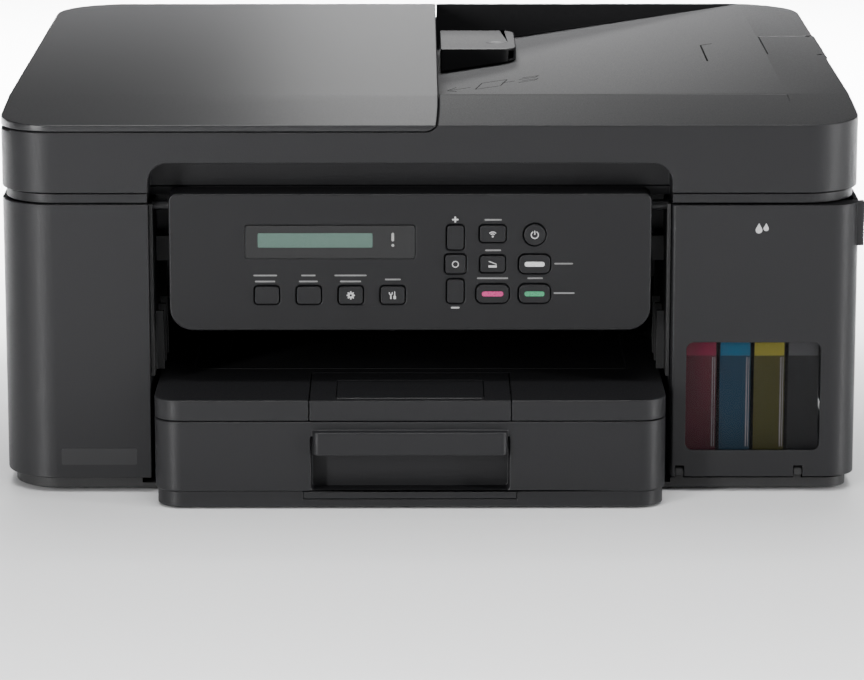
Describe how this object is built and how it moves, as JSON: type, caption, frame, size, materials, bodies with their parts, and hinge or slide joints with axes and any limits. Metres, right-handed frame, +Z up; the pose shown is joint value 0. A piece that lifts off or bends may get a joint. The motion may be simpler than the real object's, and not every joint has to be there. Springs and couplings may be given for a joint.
{
  "type": "inkjet printer",
  "caption": "Desktop ink-tank printer: flatbed scanner under a hinged document-feeder lid, tilting button panel, front paper cassette, windowed ink cover.",
  "frame": {"origin": "on the table under the middle of the whole outline, cassette handle included", "axes": "+Z up, -Y towards the user in front, +X to the right seen from the front"},
  "size_m": [0.4375, 0.4396, 0.195],
  "materials": {
    "base_black": "black moulded ABS",
    "foot_rubber": "moulded rubber",
    "casing_abs": "charcoal ABS, fine spark-eroded texture",
    "lid_abs": "charcoal ABS, fine spark-eroded texture",
    "feeder_satin": "charcoal ABS, smooth satin",
    "frame_abs": "black glass-filled plastic",
    "steel_sheet": "zinc-plated sheet",
    "motor_steel": "drawn steel can",
    "belt_rubber": "neoprene",
    "pulley_brass": "sintered brass",
    "acetal_white": "natural acetal",
    "roller_rubber": "ground rubber on steel shaft",
    "tank_clear": "translucent polypropylene",
    "tube_grey": "soft elastomer",
    "board_green": "soldermask",
    "smoked_window": "smoked clear acrylic",
    "cap_magenta": "moulded",
    "cap_cyan": "moulded",
    "cap_yellow": "moulded",
    "cap_black": "moulded",
    "panel_abs": "charcoal ABS, fine grain",
    "display_gloss": "polished acrylic",
    "button_abs": "moulded ABS",
    "clear_glass": "float glass",
    "pad_white": "white film on foam",
    "guide_abs": "moulded ABS",
    "cassette_abs": "charcoal ABS, fine spark-eroded texture"
  },
  "bodies": {
    "chassis": {"base_pan": "base_black", "left_housing": "casing_abs", "right_housing": "casing_abs", "rear_housing": "casing_abs", "bay_frame": "frame_abs", "rubber_feet": "foot_rubber", "platen": "frame_abs", "carriage_rail": "steel_sheet", "carriage_motor": "motor_steel", "feed_motor": "motor_steel", "timing_belt": "belt_rubber", "maintenance_station": "frame_abs", "ink_tanks": "tank_clear", "ink_tubes": "tube_grey", "main_board": "board_green", "power_unit": "base_black"},
    "carriage": {"print_carriage": "frame_abs"},
    "drive_pulley": {"drive_pulley": "pulley_brass"},
    "idler_pulley": {"idler_pulley": "acetal_white"},
    "feed_roller": {"feed_roller": "roller_rubber"},
    "exit_roller": {"exit_roller": "roller_rubber"},
    "transfer_gear": {"transfer_gear": "acetal_white"},
    "rear_jam_cover": {"rear_jam_cover": "casing_abs"},
    "ink_cover": {"ink_cover": "casing_abs", "ink_window": "smoked_window"},
    "magenta_cap": {"magenta_cap": "cap_magenta"},
    "cyan_cap": {"cyan_cap": "cap_cyan"},
    "yellow_cap": {"yellow_cap": "cap_yellow"},
    "black_cap": {"black_cap": "cap_black"},
    "control_panel": {"control_panel": "panel_abs", "display_window": "display_gloss"},
    "scanner_unit": {"scanner_housing": "casing_abs", "scanner_glass": "clear_glass"},
    "scan_bar": {"scan_bar": "acetal_white"},
    "lid": {"lid_frame": "lid_abs", "lid_pad": "pad_white"},
    "adf_cover": {"adf_cover": "feeder_satin"},
    "adf_roller": {"adf_roller": "roller_rubber"},
    "document_guide": {"document_guide": "guide_abs"},
    "document_support": {"document_support": "lid_abs"},
    "cassette": {"cassette_base": "cassette_abs", "cassette_cover": "cassette_abs"},
    "paper_support": {"paper_support": "cassette_abs"},
    "support_flap": {"support_flap": "cassette_abs"},
    "left_side_guide": {"left_side_guide": "guide_abs"},
    "right_side_guide": {"right_side_guide": "guide_abs"},
    "length_guide": {"length_guide": "guide_abs"},
    "enlarge_button": {"enlarge_button": "button_abs"},
    "quality_button": {"quality_button": "button_abs"},
    "options_button": {"options_button": "button_abs"},
    "menu_button": {"menu_button": "button_abs"},
    "plus_button": {"plus_button": "button_abs"},
    "ok_button": {"ok_button": "button_abs"},
    "minus_button": {"minus_button": "button_abs"},
    "wireless_button": {"wireless_button": "button_abs"},
    "scan_button": {"scan_button": "button_abs"},
    "stop_button": {"stop_button": "button_abs"},
    "power_button": {"power_button": "button_abs"},
    "mono_start_button": {"mono_start_button": "button_abs"},
    "colour_start_button": {"colour_start_button": "button_abs"}
  },
  "joints": [
    {"name": "scanner_lift", "type": "hinge", "parent": "chassis", "child": "scanner_unit", "pos_m": [0, 0.21275, 0.146], "axis": [-1, 0, 0], "range_deg": [0, 45]},
    {"name": "lid_lift", "type": "hinge", "parent": "scanner_unit", "child": "lid", "pos_m": [0, 0.21625, 0.16], "axis": [-1, 0, 0], "range_deg": [0, 75]},
    {"name": "adf_cover_lift", "type": "hinge", "parent": "lid", "child": "adf_cover", "pos_m": [-0.215, 0, 0.1892], "axis": [0, -1, 0], "range_deg": [0, 75]},
    {"name": "adf_roller_spin", "type": "hinge", "parent": "lid", "child": "adf_roller", "pos_m": [-0.023, 0, 0.178], "axis": [0, 1, 0], "continuous": true},
    {"name": "document_guide_slide", "type": "slide", "parent": "lid", "child": "document_guide", "axis": [0, -1, 0], "range_m": [-0.008, 0.1]},
    {"name": "document_support_fold", "type": "hinge", "parent": "lid", "child": "document_support", "pos_m": [0.217, 0, 0.1928], "axis": [0, 1, 0], "range_deg": [0, 170]},
    {"name": "scan_bar_slide", "type": "slide", "parent": "scanner_unit", "child": "scan_bar", "axis": [1, 0, 0], "range_m": [0, 0.318]},
    {"name": "panel_tilt", "type": "hinge", "parent": "chassis", "child": "control_panel", "pos_m": [0, -0.17175, 0.148], "axis": [-1, 0, 0], "range_deg": [0, 45]},
    {"name": "enlarge_press", "type": "slide", "parent": "control_panel", "child": "enlarge_button", "axis": [0, 1, 0], "range_m": [0, 0.0008], "stiffness_N_per_m": 500},
    {"name": "quality_press", "type": "slide", "parent": "control_panel", "child": "quality_button", "axis": [0, 1, 0], "range_m": [0, 0.0008], "stiffness_N_per_m": 500},
    {"name": "options_press", "type": "slide", "parent": "control_panel", "child": "options_button", "axis": [0, 1, 0], "range_m": [0, 0.0008], "stiffness_N_per_m": 500},
    {"name": "menu_press", "type": "slide", "parent": "control_panel", "child": "menu_button", "axis": [0, 1, 0], "range_m": [0, 0.0008], "stiffness_N_per_m": 500},
    {"name": "plus_press", "type": "slide", "parent": "control_panel", "child": "plus_button", "axis": [0, 1, 0], "range_m": [0, 0.0008], "stiffness_N_per_m": 500},
    {"name": "ok_press", "type": "slide", "parent": "control_panel", "child": "ok_button", "axis": [0, 1, 0], "range_m": [0, 0.0008], "stiffness_N_per_m": 500},
    {"name": "minus_press", "type": "slide", "parent": "control_panel", "child": "minus_button", "axis": [0, 1, 0], "range_m": [0, 0.0008], "stiffness_N_per_m": 500},
    {"name": "wireless_press", "type": "slide", "parent": "control_panel", "child": "wireless_button", "axis": [0, 1, 0], "range_m": [0, 0.0008], "stiffness_N_per_m": 500},
    {"name": "scan_press", "type": "slide", "parent": "control_panel", "child": "scan_button", "axis": [0, 1, 0], "range_m": [0, 0.0008], "stiffness_N_per_m": 500},
    {"name": "stop_press", "type": "slide", "parent": "control_panel", "child": "stop_button", "axis": [0, 1, 0], "range_m": [0, 0.0008], "stiffness_N_per_m": 500},
    {"name": "power_press", "type": "slide", "parent": "control_panel", "child": "power_button", "axis": [0, 1, 0], "range_m": [0, 0.0008], "stiffness_N_per_m": 500},
    {"name": "mono_start_press", "type": "slide", "parent": "control_panel", "child": "mono_start_button", "axis": [0, 1, 0], "range_m": [0, 0.0008], "stiffness_N_per_m": 500},
    {"name": "colour_start_press", "type": "slide", "parent": "control_panel", "child": "colour_start_button", "axis": [0, 1, 0], "range_m": [0, 0.0008], "stiffness_N_per_m": 500},
    {"name": "ink_cover_open", "type": "hinge", "parent": "chassis", "child": "ink_cover", "pos_m": [0, -0.17925, 0.011], "axis": [1, 0, 0], "range_deg": [0, 80]},
    {"name": "magenta_cap_open", "type": "hinge", "parent": "chassis", "child": "magenta_cap", "pos_m": [0.1383, -0.14975, 0.104], "axis": [-1, 0, 0], "range_deg": [0, 95]},
    {"name": "cyan_cap_open", "type": "hinge", "parent": "chassis", "child": "cyan_cap", "pos_m": [0.1557, -0.14975, 0.104], "axis": [-1, 0, 0], "range_deg": [0, 95]},
    {"name": "yellow_cap_open", "type": "hinge", "parent": "chassis", "child": "yellow_cap", "pos_m": [0.1731, -0.14975, 0.104], "axis": [-1, 0, 0], "range_deg": [0, 95]},
    {"name": "black_cap_open", "type": "hinge", "parent": "chassis", "child": "black_cap", "pos_m": [0.1905, -0.14975, 0.104], "axis": [-1, 0, 0], "range_deg": [0, 95]},
    {"name": "rear_jam_cover_open", "type": "hinge", "parent": "chassis", "child": "rear_jam_cover", "pos_m": [0, 0.21755, 0.065], "axis": [-1, 0, 0], "range_deg": [0, 80]},
    {"name": "cassette_pull", "type": "slide", "parent": "chassis", "child": "cassette", "axis": [0, -1, 0], "range_m": [0, 0.25]},
    {"name": "paper_support_pull", "type": "slide", "parent": "cassette", "child": "paper_support", "axis": [0, -1, 0], "range_m": [0, 0.05]},
    {"name": "support_flap_unfold", "type": "hinge", "parent": "paper_support", "child": "support_flap", "pos_m": [0, -0.20745, 0.055], "axis": [1, 0, 0], "range_deg": [0, 120]},
    {"name": "left_guide_slide", "type": "slide", "parent": "cassette", "child": "left_side_guide", "axis": [1, 0, 0], "range_m": [0, 0.052]},
    {"name": "right_guide_slide", "type": "slide", "parent": "cassette", "child": "right_side_guide", "axis": [-1, 0, 0], "range_m": [0, 0.052]},
    {"name": "length_guide_slide", "type": "slide", "parent": "cassette", "child": "length_guide", "axis": [0, 1, 0], "range_m": [0, 0.145]},
    {"name": "carriage_slide", "type": "slide", "parent": "chassis", "child": "carriage", "axis": [-1, 0, 0], "range_m": [0, 0.328]},
    {"name": "drive_pulley_spin", "type": "hinge", "parent": "chassis", "child": "drive_pulley", "pos_m": [-0.19, 0.094, 0], "axis": [0, 0, -1], "range_deg": [-5, 3140]},
    {"name": "idler_pulley_spin", "type": "hinge", "parent": "chassis", "child": "idler_pulley", "pos_m": [0.196, 0.094, 0], "axis": [0, 0, -1], "range_deg": [-5, 3140]},
    {"name": "feed_roller_spin", "type": "hinge", "parent": "chassis", "child": "feed_roller", "pos_m": [0, 0.062, 0.075], "axis": [1, 0, 0], "continuous": true},
    {"name": "exit_roller_spin", "type": "hinge", "parent": "chassis", "child": "exit_roller", "pos_m": [0, -0.04, 0.075], "axis": [1, 0, 0], "continuous": true},
    {"name": "transfer_gear_spin", "type": "hinge", "parent": "chassis", "child": "transfer_gear", "pos_m": [0, 0.011, 0.075], "axis": [1, 0, 0], "continuous": true}
  ],
  "couplings": [
    {"joint": "drive_pulley_spin", "follows": "carriage_slide", "rad_per_m": 166.67},
    {"joint": "idler_pulley_spin", "follows": "carriage_slide", "rad_per_m": 166.67},
    {"joint": "transfer_gear_spin", "follows": "feed_roller_spin", "ratio": -0.64516},
    {"joint": "exit_roller_spin", "follows": "feed_roller_spin", "ratio": 1},
    {"joint": "right_guide_slide", "follows": "left_guide_slide", "ratio": 1}
  ]
}
